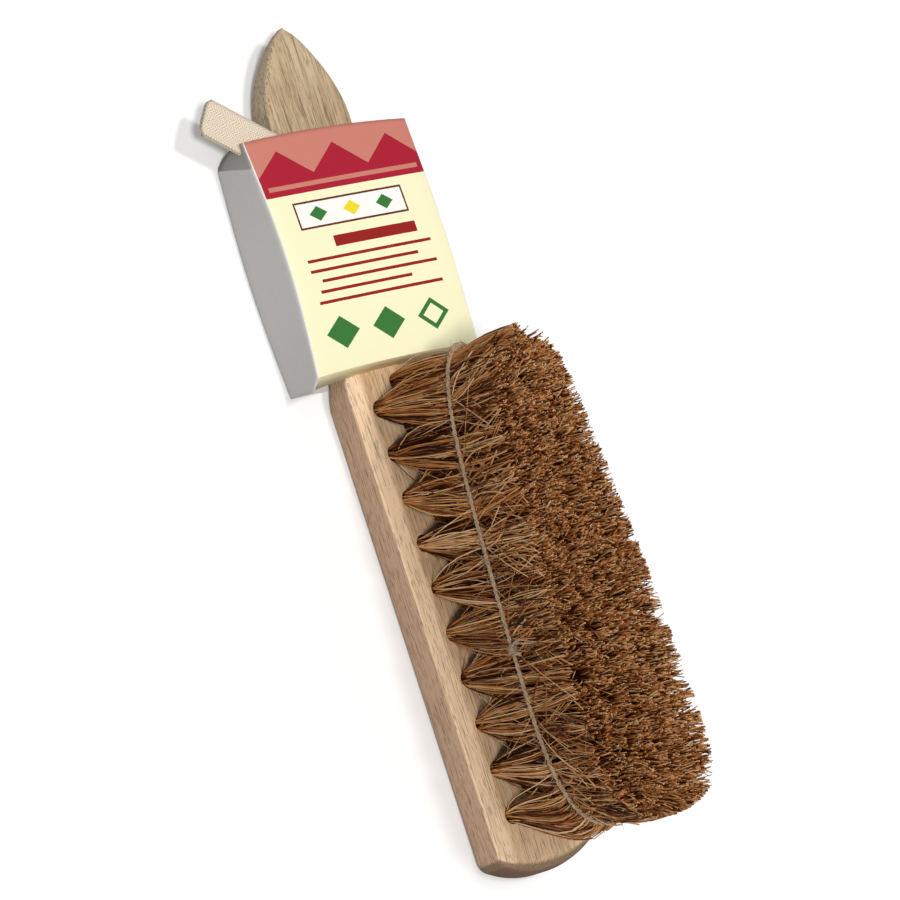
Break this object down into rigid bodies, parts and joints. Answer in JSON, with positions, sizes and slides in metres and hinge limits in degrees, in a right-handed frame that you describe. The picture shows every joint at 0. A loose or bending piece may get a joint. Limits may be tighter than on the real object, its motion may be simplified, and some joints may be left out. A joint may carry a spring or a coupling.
{
  "type": "dusting brush",
  "caption": "Wooden hand brush with a long head of stiff coir tufts tied round with twine, a flat handle in a loose card sleeve, and a tape loop to hang it by.",
  "frame": {"origin": "on the flat back of the head, under the middle of the outer tuft rows", "axes": "+X along the stock towards the head end, +Z the way the bristles point"},
  "size_m": [0.3325, 0.0967, 0.087],
  "materials": {
    "rubberwood": "bare sanded wood, fine open pores",
    "coir": "stiff matte plant fibre",
    "jute_twine": "twisted hairy twine",
    "printed_card": "printed card with a soft sheen outside, grey inside",
    "cotton_tape": "unbleached herringbone tape",
    "steel": "bright drawn steel"
  },
  "bodies": {
    "stock_body": {"stock": "rubberwood", "tuft_row1_01": "coir", "tuft_row1_02": "coir", "tuft_row1_03": "coir", "tuft_row1_04": "coir", "tuft_row1_05": "coir", "tuft_row1_06": "coir", "tuft_row1_07": "coir", "tuft_row1_08": "coir", "tuft_row1_09": "coir", "tuft_row1_10": "coir", "tuft_row2_01": "coir", "tuft_row2_02": "coir", "tuft_row2_03": "coir", "tuft_row2_04": "coir", "tuft_row2_05": "coir", "tuft_row2_06": "coir", "tuft_row2_07": "coir", "tuft_row2_08": "coir", "tuft_row2_09": "coir", "tuft_row2_10": "coir", "tuft_row3_01": "coir", "tuft_row3_02": "coir", "tuft_row3_03": "coir", "tuft_row3_04": "coir", "tuft_row3_05": "coir", "tuft_row3_06": "coir", "tuft_row3_07": "coir", "tuft_row3_08": "coir", "tuft_row3_09": "coir", "tuft_row3_10": "coir", "binding_twine": "jute_twine", "twine_side_knot": "jute_twine", "twine_end_knot": "jute_twine", "loop_tack": "steel"},
    "loop_body": {"hanging_loop": "cotton_tape"},
    "sleeve_body": {"card_sleeve": "printed_card"}
  },
  "joints": [
    {"name": "sleeve_slide", "type": "slide", "parent": "stock_body", "child": "sleeve_body", "axis": [-1, 0, 0], "range_m": [0, 0.142], "deforming": ["hanging_loop"]},
    {"name": "loop_swing", "type": "hinge", "parent": "stock_body", "child": "loop_body", "pos_m": [-0.1713, -0.008, 0.015], "axis": [0, 0, 1], "range_deg": [-50, 0]}
  ]
}
